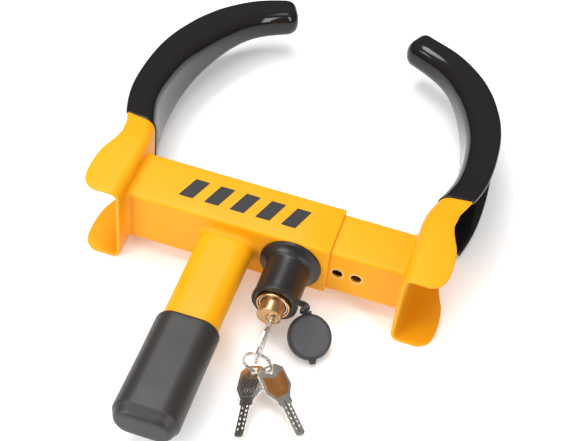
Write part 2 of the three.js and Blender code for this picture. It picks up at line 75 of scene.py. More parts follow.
# [length along the web, turn inwards in degrees, flange width, half height]
JAW_FRONT = -42.0
JAW_PATH = (
    (0, 0, 22.7, 39.6),
    (3, 0, 28.8, 39.6),
    (8, 0, 32.8, 39.6),
    (16, 0, 35.0, 39.6),
    (26, 0, 35.6, 39.6),
    (36, 0, 35.2, 39.6),
    (46, 0, 33.8, 39.6),
    (56, 0, 30.4, 39.6),
    (66, 0, 27.4, 39.4),
    (75, -6, 26.4, 38.8),
    (86, -14, 26, 37.9),
    (98, -20, 24.4, 37),
    (118, -15, 24.7, 34.9),
    (140, -6, 25.5, 31.5),
    (162, 1, 26.2, 28.4),
    (184, 6, 27.2, 25.6),
    (206, 12.5, 28.6, 22.6),
    (228, 19, 29.6, 19.8),
    (250, 24, 29.8, 17.3),
    (272, 31, 28.6, 15.4),
    (293, 44, 26, 14.5),
    (312, 59, 24.2, 14.2),
    (327, 65, 23.2, 13.8),
)
PATH_END = 327.0
TIP_REACH = {-1: 0.0, 1: 9.5}
TIP_ROUND = {-1: 0.62, 1: 0.9}

# The working frame's origin in the row frame, taken from where the outer tube is.
tube_low, tube_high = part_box("outer_tube")
tube_middle = (tube_low + tube_high) / 2
ORIGIN = Vector((tube_low.x - 0.3 * MM, tube_middle.y, tube_middle.z))


def at(x, y, z):
    """A working-frame point, in millimetres, as a row-frame point in metres."""
    return ORIGIN + Vector((x, y, z)) * MM


# ---- Mesh helpers ----
def weld(mesh):
    """Joins points in the same place, so that the mesh is closed, and turns its normals outwards."""
    build = bmesh.new()
    build.from_mesh(mesh)
    bmesh.ops.remove_doubles(build, verts=build.verts, dist=2e-6)
    bmesh.ops.recalc_face_normals(build, faces=build.faces)
    build.to_mesh(mesh)
    build.free()


def make_mesh(name, points, faces, body, material, replaces=(), smooth_angle=35):
    """A piece from row-frame points and faces, with its normals turned outwards."""
    mesh = bpy.data.meshes.new(name)
    mesh.from_pydata([tuple(p) for p in points], [], faces)
    weld(mesh)
    piece = bpy.data.objects.new(name, mesh)
    bpy.context.scene.collection.objects.link(piece)
    return dress(piece, body, material, replaces, smooth_angle)


def dress(piece, body, material, replaces=(), smooth_angle=35):
    """Gives a piece its material, its smooth shading, its body and what it stands for."""
    mesh = piece.data
    if material is not None:
        mesh.materials.clear()
        mesh.materials.append(material)
    mesh.shade_smooth()
    mesh.set_sharp_from_angle(angle=math.radians(smooth_angle))
    if body is not None:
        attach(piece, body)
    if replaces:
        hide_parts(*replaces)
    return piece


def loft_faces(rings, count, closed_along=False, capped=True):
    """The faces between rings of points, each ring with the same count, and its two end caps."""
    faces = []
    total = rings if closed_along else rings - 1
    for i in range(total):
        for j in range(count):
            k = (j + 1) % count
            a, b = i * count + j, i * count + k
            c, d = ((i + 1) % rings) * count + k, ((i + 1) % rings) * count + j
            faces.append((a, b, c, d))
    if capped and not closed_along:
        faces.append(tuple(range(count)))
        faces.append(tuple(range((rings - 1) * count, rings * count)))
    return faces


def rounded(corners, steps=5):
    """An outline of [u, v, radius] corners, each rounded by an arc."""
    outline = []
    count = len(corners)
    for i, (u, v, radius) in enumerate(corners):
        here = Vector((u, v))
        before = Vector(corners[i - 1][:2]) - here
        after = Vector(corners[(i + 1) % count][:2]) - here
        one, two = before.normalized(), after.normalized()
        angle = one.angle(two, math.pi)
        radius = max(radius, 1e-4)
        reach = radius / math.tan(angle / 2)
        reach = min(reach, before.length * 0.499, after.length * 0.499)
        radius = reach * math.tan(angle / 2)
        centre = here + (one + two).normalized() * radius / math.sin(angle / 2)
        start, end = here + one * reach - centre, here + two * reach - centre
        swing = start.angle_signed(end, 0.0)
        for k in range(steps + 1):
            turn = -swing * k / steps
            c, s = math.cos(turn), math.sin(turn)
            outline.append(centre + Vector((start.x * c - start.y * s, start.x * s + start.y * c)))
    return outline


def lathe(name, profile, centre, axis, body, material, replaces=(), segments=96, smooth_angle=35):
    """A turned piece: [radius, along] points round an axis through centre, both in the working frame."""
    axis = Vector(axis).normalized()
    side = axis.orthogonal().normalized()
    other = axis.cross(side)
    points, faces = [], []
    count = len(profile)
    for i in range(segments):
        angle = 2 * math.pi * i / segments
        out = side * math.cos(angle) + other * math.sin(angle)
        for radius, along in profile:
            points.append(at(*(Vector(centre) + axis * along + out * radius)))
    for i in range(segments):
        for j in range(count - 1):
            k = (i + 1) % segments
            faces.append((i * count + j, i * count + j + 1, k * count + j + 1, k * count + j))
    return make_mesh(name, points, faces, body, material, replaces, smooth_angle)


def arc(centre_r, centre_y, radius, start, end, steps=5):
    """Points of a profile along an arc, its angles in degrees from +r towards +y."""
    points = []
    for i in range(steps + 1):
        angle = math.radians(start + (end - start) * i / steps)
        points.append((centre_r + radius * math.cos(angle), centre_y + radius * math.sin(angle)))
    return points


def cut(piece, *cutters):
    """Takes the cutters out of a piece with exact booleans and deletes them."""
    for cutter in cutters:
        modifier = piece.modifiers.new("cut", "BOOLEAN")
        modifier.operation = "DIFFERENCE"
        modifier.solver = "EXACT"
        modifier.object = cutter
    graph = bpy.context.evaluated_depsgraph_get()
    made = bpy.data.meshes.new_from_object(piece.evaluated_get(graph))
    piece.modifiers.clear()
    old = piece.data
    piece.data = made
    bpy.data.meshes.remove(old)
    for cutter in cutters:
        bpy.data.objects.remove(cutter)
    return piece


def make_tool(build, matrix=None):
    """A mesh used only for cutting, from a bmesh that it closes."""
    mesh = bpy.data.meshes.new("tool")
    build.to_mesh(mesh)
    build.free()
    if matrix is not None:
        mesh.transform(matrix)
    tool = bpy.data.objects.new("tool", mesh)
    bpy.context.scene.collection.objects.link(tool)
    return tool


def plain_rod(centre, axis, radius, length, segments=40):
    """A rod used only as a cutting tool, with its middle at a working-frame point."""
    build = bmesh.new()
    turn = Vector((0, 0, 1)).rotation_difference(Vector(axis)).to_matrix().to_4x4()
    place = Matrix.Translation(at(*centre)) @ turn
    sizes = {"radius1": radius * MM, "radius2": radius * MM, "depth": length * MM}
    bmesh.ops.create_cone(build, cap_ends=True, segments=segments, matrix=place, **sizes)
    return make_tool(build)


def plain_box(low, high):
    """A box used only as a cutting tool, between two working-frame corners."""
    build = bmesh.new()
    bmesh.ops.create_cube(build, size=1)
    low, high = at(*low), at(*high)
    size = high - low
    for vert in build.verts:
        vert.co = Vector([low[k] + size[k] * (vert.co[k] + 0.5) for k in range(3)])
    return make_tool(build)


# ---- Materials ----
def new_material(name, color, roughness, metallic=0.0):
    material = bpy.data.materials.new(name)
    material.use_nodes = True
    shader = material.node_tree.nodes["Principled BSDF"]
    shader.inputs["Base Color"].default_value = (*color, 1)
    shader.inputs["Roughness"].default_value = roughness
    shader.inputs["Metallic"].default_value = metallic
    return material, material.node_tree, shader


def add_noise(tree, scale, detail=3.0, stretch=None):
    """A noise texture in metres of object space, squeezed along an axis if asked."""
    coords = tree.nodes.new("ShaderNodeTexCoord")
    noise = tree.nodes.new("ShaderNodeTexNoise")
    noise.inputs["Scale"].default_value = scale
    noise.inputs["Detail"].default_value = detail
    if stretch is None:
        tree.links.new(coords.outputs["Object"], noise.inputs["Vector"])
        return noise
    mapping = tree.nodes.new("ShaderNodeMapping")
    mapping.inputs["Scale"].default_value = stretch
    tree.links.new(coords.outputs["Object"], mapping.inputs["Vector"])
    tree.links.new(mapping.outputs["Vector"], noise.inputs["Vector"])
    return noise


def add_bump(tree, shader, noise, strength, distance):
    bump = tree.nodes.new("ShaderNodeBump")
    bump.inputs["Strength"].default_value = strength
    bump.inputs["Distance"].default_value = distance
    tree.links.new(noise.outputs["Fac"], bump.inputs["Height"])
    tree.links.new(bump.outputs["Normal"], shader.inputs["Normal"])


def vary_roughness(tree, shader, noise, low, high):
    spread = tree.nodes.new("ShaderNodeMapRange")
    spread.inputs["To Min"].default_value = low
    spread.inputs["To Max"].default_value = high
    tree.links.new(noise.outputs["Fac"], spread.inputs["Value"])
    tree.links.new(spread.outputs["Result"], shader.inputs["Roughness"])


def vary_color(tree, shader, noise, low, high):
    ramp = tree.nodes.new("ShaderNodeValToRGB")
    ramp.color_ramp.elements[0].position = 0.35
    ramp.color_ramp.elements[1].position = 0.65
    ramp.color_ramp.elements[0].color = (*low, 1)
    ramp.color_ramp.elements[1].color = (*high, 1)
    tree.links.new(noise.outputs["Fac"], ramp.inputs["Fac"])
    tree.links.new(ramp.outputs["Color"], shader.inputs["Base Color"])


def simple_material(name, color, roughness, metallic, grain, strength, spread=0.06):
    """A finish with a fine grain and slightly uneven gloss."""
    material, tree, shader = new_material(name, color, roughness, metallic)
    add_bump(tree, shader, add_noise(tree, grain), strength, 0.00005)
    vary_roughness(tree, shader, add_noise(tree, 60), max(roughness - spread, 0.03), roughness + spread)
    return material


def paint_material():
    material, tree, shader = new_material("paint", (0.88, 0.375, 0.006), 0.4)
    shader.inputs["Specular IOR Level"].default_value = 0.2
    shader.inputs["Coat Weight"].default_value = 0.06
    shader.inputs["Coat Roughness"].default_value = 0.18
    vary_color(tree, shader, add_noise(tree, 14), (0.87, 0.365, 0.005), (0.91, 0.39, 0.007))
    vary_roughness(tree, shader, add_noise(tree, 40), 0.34, 0.46)
    add_bump(tree, shader, add_noise(tree, 1100, 2), 0.12, 0.00006)
    return material


def vinyl_material():
    material, tree, shader = new_material("dipped_vinyl", (0.011, 0.0095, 0.009), 0.12)
    shader.inputs["IOR"].default_value = 1.4
    shader.inputs["Specular IOR Level"].default_value = 0.55
    vary_roughness(tree, shader, add_noise(tree, 30), 0.06, 0.13)
    add_bump(tree, shader, add_noise(tree, 70, 1), 0.12, 0.0004)
    return material


def turned_metal(name, color, roughness):
    """Turned metal: fine rings round the lock's axis, which is close enough to Y for every turned piece."""
    material, tree, shader = new_material(name, color, roughness, 1.0)
    add_bump(tree, shader, add_noise(tree, 260, 2, (1, 14, 1)), 0.18, 0.00005)
    vary_roughness(tree, shader, add_noise(tree, 120), roughness - 0.07, roughness + 0.07)
    return material


PAINT = paint_material()
# A paler paint for the raised lips round the bolt holes: a painted highlight where light catches each lip.
RIM_HIGHLIGHT_PAINT = simple_material("paint_rim_highlight", (0.93, 0.60, 0.26), 0.4, 0, 900, 0.1)
VINYL = vinyl_material()
GRIP_RUBBER = simple_material("grip_rubber", (0.025, 0.0225, 0.021), 0.44, 0, 1300, 0.9)
MOULDED = simple_material("moulded_black", (0.014, 0.012, 0.0115), 0.36, 0, 700, 0.1)
CAP_RUBBER = simple_material("cap_rubber", (0.072, 0.072, 0.08), 0.62, 0, 1000, 0.12)
CAP_EDGE = simple_material("cap_edge", (0.03, 0.03, 0.033), 0.5, 0, 1000, 0.12)
BRASS = turned_metal("brass", (0.60, 0.38, 0.19), 0.3)
BRASS_RING = turned_metal("brass_ring", (0.78, 0.46, 0.20), 0.2)
SILVER = turned_metal("silver_ring", (0.82, 0.80, 0.78), 0.14)
STEEL = turned_metal("zinc_steel", (0.62, 0.62, 0.63), 0.32)
NICKEL = simple_material("nickel", (0.70, 0.66, 0.61), 0.24, 1, 500, 0.12)
COPPER = simple_material("copper_panel", (0.70, 0.30, 0.10), 0.3, 1, 500, 0.12)
# Near black for the strip along the key's blade: painted shade standing in for the milled groove.
GROOVE_SHADE = simple_material("painted_groove_shade", (0.012, 0.011, 0.010), 0.6, 0, 400, 0.1)
DECAL = simple_material("decal_black", (0.012, 0.011, 0.012), 0.45, 0, 900, 0.08)


# ---- Jaws ----
def smooth_table(rows, column, length):
    """A column of a table at any length, by cubic interpolation that never overshoots."""
    xs = [row[0] for row in rows]
    ys = [row[column] for row in rows]
    slopes = []
    for i in range(len(xs)):
        if i in (0, len(xs) - 1):
            j = min(i, len(xs) - 2)
            slopes.append((ys[j + 1] - ys[j]) / (xs[j + 1] - xs[j]))
            continue
        left = (ys[i] - ys[i - 1]) / (xs[i] - xs[i - 1])
        right = (ys[i + 1] - ys[i]) / (xs[i + 1] - xs[i])
        slopes.append(0 if left * right <= 0 else 2 * left * right / (left + right))
    length = min(max(length, xs[0]), xs[-1])
    i = max(j for j in range(len(xs) - 1) if xs[j] <= length)
    span = xs[i + 1] - xs[i]
    t = (length - xs[i]) / span
    h00, h10 = 2 * t**3 - 3 * t**2 + 1, t**3 - 2 * t**2 + t
    h01, h11 = -2 * t**3 + 3 * t**2, t**3 - t**2
    return h00 * ys[i] + h10 * span * slopes[i] + h01 * ys[i + 1] + h11 * span * slopes[i + 1]


PATH_STEP = 1.0


def walk_path():
    """The web's line in 1 mm steps: [x outwards, y, turn inwards]."""
    x, y = 0.0, JAW_FRONT
    line = []
    for i in range(int(PATH_END / PATH_STEP) + 1):
        turn = math.radians(smooth_table(JAW_PATH, 1, i * PATH_STEP))
        line.append((x, y, turn))
        x -= math.sin(turn) * PATH_STEP
        y += math.cos(turn) * PATH_STEP
    return line


WEB_LINE = walk_path()


def web_point(length):
    """The web line at any length, carrying straight on past its end."""
    if length >= PATH_END:
        x, y, turn = WEB_LINE[-1]
        extra = length - PATH_END
        return x - math.sin(turn) * extra, y + math.cos(turn) * extra, turn
    i = int(length / PATH_STEP)
    t = length / PATH_STEP - i
    a, b = WEB_LINE[i], WEB_LINE[min(i + 1, len(WEB_LINE) - 1)]
    return tuple(a[k] + (b[k] - a[k]) * t for k in range(3))


def place(side, length, out, up):
    """A point of the jaw's section, in the working frame. Side -1 is the fixed jaw, and 1 the sliding one."""
    x, y, turn = web_point(max(length, 0.0))
    y += min(length, 0.0)
    web = 0 if side < 0 else JAW_SPREAD
    return web + side * (x + out * math.cos(turn)), y + out * math.sin(turn), up


def channel_section(length, grow, closing=0.0, edge=1.5, steps=5):
    """The channel's outline, grown all round. Closing runs from 0, an open channel, to 1, a solid bar."""
    width = smooth_table(JAW_PATH, 2, length)
    half = smooth_table(JAW_PATH, 3, length)
    tip = width + grow
    top = half + grow
    under = half - SHEET["thick"] - grow
    inner = SHEET["thick"] + grow
    inner += (tip - 0.4 - inner) * closing
    soft = min(max((length - 110) / 150, 0), 1)
    bend = SHEET["bend"] + grow + 2.6 * soft
    lip = edge + (11.0 - edge) * closing
    hollow = max(0.5, min(bend - inner - grow, (tip - inner) * 0.45))
    small = min(edge, (tip - inner) * 0.45)
    corners = (
        (tip, top, lip),
        (-grow, top, bend),
        (-grow, -top, bend),
        (tip, -top, lip),
        (tip, -under, small),
        (inner, -under, hollow),
        (inner, under, hollow),
        (tip, under, small),
    )
    return rounded(corners, steps)


def pressed_jaw(side, prefix, body):
    """The pressed steel channel with softly rounded cut edges, from its ears to inside the sleeve."""
    edge = 1.3
    stations = []
    for k in range(5):
        angle = math.radians(22.5 * k)
        stations.append((edge - edge * math.cos(angle), edge * math.sin(angle) - edge))
    last = DIP[side] + 92
    stations += [(s, 0.0) for s in np.arange(2.2, 34, 1.6)]
    stations += [(s, 0.0) for s in np.arange(34, last, 2.4)]
    points = []
    for length, grow in stations:
        points += [at(*place(side, length, *p)) for p in channel_section(length, grow)]
    faces = loft_faces(len(stations), len(points) // len(stations))
    return make_mesh(prefix + "_steel", points, faces, body, PAINT, (prefix,), 50)


def dip_length(side, out):
    """Where a line of the section at this distance out from the web crosses the dip's edge."""
    low, high = 60.0, 130.0
    slope = math.tan(math.radians(DIP_SLOPE))
    for _ in range(40):
        middle = (low + high) / 2
        x, y, turn = web_point(middle)
        across = x + out * math.cos(turn)
        along = y + out * math.sin(turn)
        if along < DIP[side] + across * slope - 1.0:
            low = middle
        else:
            high = middle
    return middle


def dipped_sleeve(side, prefix, body):
    """The dipped coat: a rounded lip on the steel, an open channel, and a solid finger with a domed end."""
    grow = COAT
    closing_start, closing_end = 276.0, 296.0
    lip = [(0.0, -0.6), (0.0, 0.35), (0.25, 0.8), (0.7, 1.08), (1.3, 1.2)]
    body_rows = list(np.linspace(0, 1, 150))
    points = []
    count = len(channel_section(100, grow, 0, 2.4))
    for forward, g in lip:
        section = channel_section(95, g, 0, 2.2)
        ring = []
        for j in range(count):
            start = dip_length(side, section[j].x)
            p = channel_section(start + forward, g, 0, 2.2 if g > 0 else 1.5)[j]
            ring.append(at(*place(side, start + forward, *p)))
        points += ring
    for t in body_rows[1:]:
        rough = 95 + (PATH_END - 95) * t
        ring = []
        closing = min(max((rough - closing_start) / (closing_end - closing_start), 0), 1)
        closing = closing * closing * (3 - 2 * closing)
        lean = max(0.0, 1 - (rough - 95) / 60)
        section = channel_section(rough, grow, closing, 2.4)
        for j in range(count):
            shift = (dip_length(side, section[j].x) + 1.3 - 95) * lean
            length = rough + shift
            p = channel_section(length, grow, closing, 2.4)[j]
            ring.append(at(*place(side, length, *p)))
        points += ring
    rings = len(lip) + len(body_rows) - 1
    end = channel_section(PATH_END, grow, 1.0, 2.4)
    middle = smooth_table(JAW_PATH, 2, PATH_END) / 2
    dome = 12.0
    for k in range(1, 13):
        angle = math.radians(7.2 * k)
        reach = TIP_REACH[side] + dome * math.sin(angle)
        shrink = 0.12 + 0.88 * math.cos(angle) ** TIP_ROUND[side]
        for p in end:
            out = middle + (p.x - middle) * shrink
            points.append(at(*place(side, PATH_END + reach, out, p.y * shrink)))
        rings += 1
    faces = loft_faces(rings, count)
    return make_mesh(prefix + "_dip", points, faces, body, VINYL, (prefix + "_sleeve",), 60)


# ---- Tubes, welds and handle ----
def rounded_bar(half_width, half_height, corner, steps):
    """A rectangle about the origin, with rounded corners."""
    signs = ((1, 1), (-1, 1), (-1, -1), (1, -1))
    return rounded([(half_width * a, half_height * b, corner) for a, b in signs], steps)


def square_ring(half, corner, steps=8):
    return rounded_bar(half, half, corner, steps)


def square_tube(name, rows, body, replaces):
    """A tube along X from [x, half side, corner radius] rows that close on themselves."""
    points = []
    for x, half, corner in rows:
        points += [at(x, p.x, p.y) for p in square_ring(half, corner)]
    faces = loft_faces(len(rows), len(points) // len(rows), closed_along=True)
    return make_mesh(name, points, faces, body, PAINT, replaces, 40)


def outer_tube():
    half, corner, end, inside = OUTER["half"], OUTER["corner"], OUTER["end"], OUTER["inside"]
    rows = [(0.3, half, corner)]
    rows += [(x, half, corner) for x in range(20, 170, 25)]
    rows += [(end - 0.8, half, corner), (end - 0.25, half - 0.25, corner), (end, half - 0.8, corner)]
    rows += [(end, inside + 0.5, 3.0), (end - 0.4, inside, 2.6), (0.3, inside, 2.6)]
    tube = square_tube("outer_tube_body", rows, "frame", ("outer_tube",))
    cut(tube, plain_rod((LOCK_X, 1 - half, 0), (0, 1, 0), 5.2, 10))
    return dress(tube, "frame", PAINT, (), 40)


def inner_tube():
    half, corner, start, inside = INNER["half"], INNER["corner"], INNER["start"], INNER["inside"]
    end = JAW_SPREAD - 0.3
    rows = [(start + 0.6, half, corner)] + [(x, half, corner) for x in range(75, 236, 20)]
    rows += [(end, half, corner), (end, inside, 2.2), (start + 0.6, inside, 2.2), (start, inside + 0.5, 2.4)]
    rows += [(start, half - 0.6, corner)]
    tube = square_tube("inner_tube_body", rows, "slider", ("inner_tube",))
    cut(tube, *(plain_rod((x, -half, 0), (0, 1, 0), 4.9, 12) for x in BOLT_HOLES))
    dress(tube, "slider", PAINT, (), 40)
    for i, x in enumerate(BOLT_HOLES):
        # Each raised lip is a real ring, coloured with the paler paint as a painted highlight.
        rim = [(4.7, 0.4), (4.75, -0.1), (5.0, -0.2), (5.35, -0.18), (5.7, -0.02), (5.75, 0.4), (4.7, 0.4)]
        centre = (x, -half, 0)
        lathe(f"hole_rim_{i + 1}", rim, centre, (0, 1, 0), "slider", RIM_HIGHLIGHT_PAINT, (), 40)


def fillet(name, path, outward, reach, body, ripple=0.0, seed=1):
    """A weld run round a closed path of (point, away from the tube's surface) pairs. Outward is the way from
    the plate along the tube, and reach the size of its leg."""
    rng = random.Random(seed)
    outward = Vector(outward)
    points = []
    profile = [(0.0, 1.0), (0.06, 0.86), (0.16, 0.66), (0.3, 0.46)]
    profile += [(0.46, 0.3), (0.66, 0.16), (0.86, 0.06), (1.0, 0.0)]
    profile += [(1.0, -0.2), (-0.05, -0.2), (-0.05, 1.0)]
    travelled = 0.0
    for i, (point, away) in enumerate(path):
        travelled += (Vector(point) - Vector(path[i - 1][0])).length if i else 0
        wave = math.sin(travelled * 1.7 + 0.4 * math.sin(travelled * 0.31))
        swell = 1 + ripple * wave + rng.uniform(-1, 1) * ripple * 0.25
        leg = reach * swell
        for a, b in profile:
            points.append(at(*(Vector(point) + outward * (a * leg) + Vector(away) * (b * leg))))
    faces = loft_faces(len(path), len(profile), closed_along=True)
    return make_mesh(name, points, faces, body, PAINT, (), 50)


def past_flat(value, flat):
    """How far a coordinate lies past the flat part of a side, with its sign."""
    return max(abs(value) - flat, 0) * math.copysign(1, value)


def square_weld(name, x, direction, half, corner, reach, body):
    """The weld run where a square tube meets a jaw's web."""
    flat = half - corner
    outline = square_ring(half, corner, 10)
    path = []
    for i, p in enumerate(outline):
        q = outline[(i + 1) % len(outline)]
        steps = max(1, int((q - p).length / 3))
        for k in range(steps):
            r = p.lerp(q, k / steps)
            core = Vector((past_flat(r.x, flat), past_flat(r.y, flat))).normalized()
            path.append(((x, r.x, r.y), (0, core.x, core.y)))
    return fillet(name, path, (direction, 0, 0), reach, body, 0.012)


def oval(width, height, steps=14):
    """A flattened round outline, with half circles at its two ends."""
    points = []
    r = height / 2
    for centre, start in ((width / 2 - r, -90), (r - width / 2, 90)):
        for i in range(steps + 1):
            angle = math.radians(start + 180 * i / steps)
            points.append(Vector((centre + r * math.cos(angle), r * math.sin(angle))))
    return points


def handle_tube():
    width, height = HANDLE["width"], HANDLE["height"]
    points = []
    rows = [(-25.9, 0), (-60, 0), (-90, 0), (-121, 0), (-160, 0), (-204, 0)]
    for y, inset in rows:
        points += [at(HANDLE["x"] + p.x, y, p.y) for p in oval(width - 2 * inset, height - 2 * inset)]
    faces = loft_faces(len(rows), len(points) // len(rows))
    make_mesh("handle_bar", points, faces, "frame", PAINT, ("handle_tube",), 40)
    path = []
    outline = oval(width, height, 26)
    for i, p in enumerate(outline):
        q = outline[(i + 1) % len(outline)]
        steps = max(1, int((q - p).length / 1.5))
        for k in range(steps):
            r = p.lerp(q, k / steps)
            core = Vector((past_flat(r.x, (width - height) / 2), r.y)).normalized()
            path.append(((HANDLE["x"] + r.x, -OUTER["half"], r.y), (core.x, 0, core.y)))
    fillet("handle_weld", path, (0, -1, 0), 3.4, "frame", 0.14, 4)


def handle_grip():
    width, height, start, end = GRIP["width"], GRIP["height"], GRIP["start"], GRIP["end"]
    inner_width, inner_height = HANDLE["width"], HANDLE["height"]
    rows = [(start - 1.5, (width - inner_width) / 2 - 0.15)]
    rows += [(start, (width - inner_width) / 2 - 0.4)]
    for k in range(1, 9):
        angle = math.radians(90 * k / 8)
        rows.append((start - 3.4 * (1 - math.cos(angle)), 2.6 * (1 - math.sin(angle))))
    rows += [(start - 12, 0), (start - 40, 0.1), (end + 30, -0.2), (end + 10.5, -0.4), (end + 9.3, -0.3)]
    rows += [(end + 8.4, 0.1), (end + 7.4, 0.8), (end + 5.6, 1.7), (end + 3.6, 2.5), (end + 1.9, 3.5)]
    rows += [(end + 0.8, 4.8), (end + 0.2, 6.4), (end, 8.4), (end, 12.0)]
    points = []
    for y, inset in rows:
        points += [at(HANDLE["x"] + p.x, y, p.y) for p in oval(width - 2 * inset, height - 2 * inset, 22)]
    faces = loft_faces(len(rows), len(points) // len(rows))
    return make_mesh("grip", points, faces, "frame", GRIP_RUBBER, ("handle_grip",), 60)


# ---- Decal ----
def decal():
    """A row of slanted bars on the tube's top, in place of the maker's word."""
    top = OUTER["half"]
    half_depth, bar, lean, pitch, count, start = 11.0, 12.5, 8.0, 22.3, 5, 40.0
    for i in range(count):
        x = start + pitch * i
        corners = [(x, -half_depth), (x + bar, -half_depth)]
        corners += [(x + bar + lean, half_depth), (x + lean, half_depth)]
        flat = rounded([(u, v, 0.7) for u, v in corners], 3)
        points = [at(p.x, p.y, top + 0.08) for p in flat] + [at(p.x, p.y, top - 0.1) for p in flat]
        faces = loft_faces(2, len(flat))
        make_mesh(f"decal_bar_{i + 1}", points, faces, "frame", DECAL, (), 30)


# ---- Lock ----
def lock_body():
    axis_point = (LOCK_X, 0, 0)
    axis = (0, 1, 0)
    boot = [(15.5, -26.1), (25.7, -26.1), (26.1, -26.5)]
    boot += [(26.0, -28.4)] + arc(25.4, -28.7, 0.6, 0, -60, 3)
    boot += [(24.2, -29.9), (22.6, -30.9), (21.2, -32.0), (20.2, -33.1)]
    boot += [(19.8, -33.6), (19.9, -34.1), (19.6, -34.7), (19.1, -35.0), (18.85, -35.7), (18.7, -37.0)]
    boot += [(18.75, -50), (18.75, -67.6), (18.5, -67.95), (17.9, -68.1), (17.8, -71.0)]
    boot += arc(17.2, -71.2, 0.6, 0, -90, 4)
    boot += [(15.2, -71.8), (14.6, -71.4), (14.4, -70.2), (14.4, -66.0), (15.5, -66.0), (15.5, -26.1)]
    lathe("boot", boot, axis_point, axis, "frame", MOULDED, ("lock_boot",), 128)
    collar = [(12.55, -64.5), (14.1, -64.5), (14.1, -73.4)] + arc(13.35, -74.2, 0.78, 10, -190, 8)
    collar += [(12.55, -72.0), (12.55, -64.5)]
    lathe("collar", collar, axis_point, axis, "frame", BRASS_RING, ("lock_collar",))
    silver = [(10.75, -64.5), (12.2, -64.5), (12.2, -72.9)] + arc(11.5, -73.4, 0.7, 10, -190, 8)
    silver += [(10.75, -71.0), (10.75, -64.5)]
    lathe("silver_ring", silver, axis_point, axis, "frame", SILVER, ("retaining_ring",))


def lock_plunger():
    front = PLUNGER_FRONT
    axis = (0, 1, 0)
    profile = [(0, front + 0.12), (8.7, front + 0.12), (8.95, front), (9.35, front)]
    profile += arc(9.3, front + 0.85, 0.85, -80, 0, 4)
    profile += [(10.2, -46.5), (9.7, -46), (0, -46)]
    centre = (LOCK_X, 0, 0)
    plunger = lathe("plunger", profile, centre, axis, "plunger", BRASS, ("lock_plunger",), 128)
    core_bore = plain_rod((CORE_X, front, 0), axis, 5.95, 72)
    bolt_bore = plain_rod((LOCK_X, -46, 0), axis, 3.3, 12)
    lug_box = plain_box((LOCK_X - 12, -56.3, -2.3), (CORE_X - 3.5, -51.7, 2.3))
    cut(plunger, core_bore, bolt_bore, lug_box)
    dress(plunger, "plunger", BRASS, (), 35)
    core_profile = [(0, front + 0.25), (5.3, front + 0.25), (5.7, front + 0.65), (5.7, -58)]
    core_profile += [(2, -58), (2, -51.4), (0, -51.4)]
    core = lathe("core", core_profile, (CORE_X, 0, 0), axis, "core", BRASS, ("lock_core",), 64)
    keyway = plain_box((CORE_X - 1.4, front - 1, -4.7), (CORE_X + 1.4, -67, 4.7))
    cut(core, keyway)
    dress(core, "core", BRASS, (), 35)


def spring_coil():
    """The plunger's spring, drawn as a fixed coil; the real one shortens against the tube's front as the
    plunger goes in.
    """
    start, end, turns, radius, wire = -45.5, -27.5, 3, 7.4, 0.45
    steps, sides = 90, 8
    points = []
    for i in range(steps + 1):
        angle = 2 * math.pi * turns * i / steps
        along = start + (end - start) * i / steps
        for j in range(sides):
            turn = 2 * math.pi * j / sides
            reach = radius + wire * math.cos(turn)
            y = along + wire * math.sin(turn)
            points.append(at(LOCK_X + reach * math.cos(angle), y, reach * math.sin(angle)))
    faces = loft_faces(steps + 1, sides)
    stands_for = ("plunger_spring",)
    piece = make_mesh("spring_coil", points, faces, None, STEEL, stands_for, 60)
    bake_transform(piece)


# ---- Dust cap, band and strap ----
CAP_UP = Vector((-0.45, 0.78, 0.42))
CAP_UP = (CAP_UP - CAP_FACE * CAP_UP.dot(CAP_FACE)).normalized()
CAP_ACROSS = CAP_UP.cross(CAP_FACE)
CAP_NECK = CAP["centre"] + CAP_UP * (CAP["radius"] + 2.5) - CAP_FACE * 1.8


def cap_point(across, up, along):
    return at(*(CAP["centre"] + CAP_ACROSS * across + CAP_UP * up + CAP_FACE * along))


def middle_of(outline):
    return sum(v for _, v, _ in outline) / len(outline)


def cap_plate(name, outline, top, bottom, material):
    """A small plate on the cap, with eased edges."""
    middle = middle_of(outline)
    points = []
    rows = ((top, -0.35), (top - 0.12, -0.1), (top - 0.4, 0.0), (bottom + 0.4, 0.0), (bottom, -0.35))
    for along, grow in rows:
        grown = []
        for u, v, radius in outline:
            wider = math.copysign(grow, u)
            longer = math.copysign(grow, v - middle)
            grown.append((u + wider, v + longer, radius))
        points += [cap_point(p.x, p.y, along) for p in rounded(grown, 5)]
    faces = loft_faces(len(rows), len(points) // len(rows))
    return make_mesh(name, points, faces, "cap", material, (), 50)


def dust_cap():
    radius = CAP["radius"]
    face = [(0, 0.55), (radius - 6, 0.5), (radius - 3.2, 0.38), (radius - 2.2, 0.2), (radius - 1.9, 0.05)]
    face += [(radius - 1.9, -0.8), (0, -0.8)]
    lathe("cap_disc", face, CAP["centre"], CAP_FACE, "cap", CAP_RUBBER, ("dust_cap",), 128)
    rim = [(radius - 2.4, -0.9), (radius - 2.1, 0.1)] + arc(radius - 1.25, 0.1, 0.75, 170, 0, 8)
    rim += [(radius, -0.9), (radius, -4.0), (radius - 0.5, -4.5), (radius - 1.5, -4.5), (radius - 1.9, -4.1)]
    rim += [(radius - 1.9, -2.2), (0, -2.2), (0, -0.9), (radius - 2.4, -0.9)]
    lathe("cap_rim", rim, CAP["centre"], CAP_FACE, "cap", CAP_EDGE, (), 128)
    root, tip = 1.2 - radius, -3.2 - radius
    tab = [(1.7, tip, 1.2), (-1.7, tip, 1.2), (-3.2, root, 0.8), (3.2, root, 0.8)]
    cap_plate("cap_tab", tab, -0.9, -3.0, CAP_EDGE)
    inner, outer = radius - 1.4, radius + 1.9
    lug = [(3.4, outer, 0.8), (-3.4, outer, 0.8), (-3.4, inner, 0.8), (3.4, inner, 0.8)]
    cap_plate("cap_lug", lug, -0.9, -2.9, CAP_EDGE)


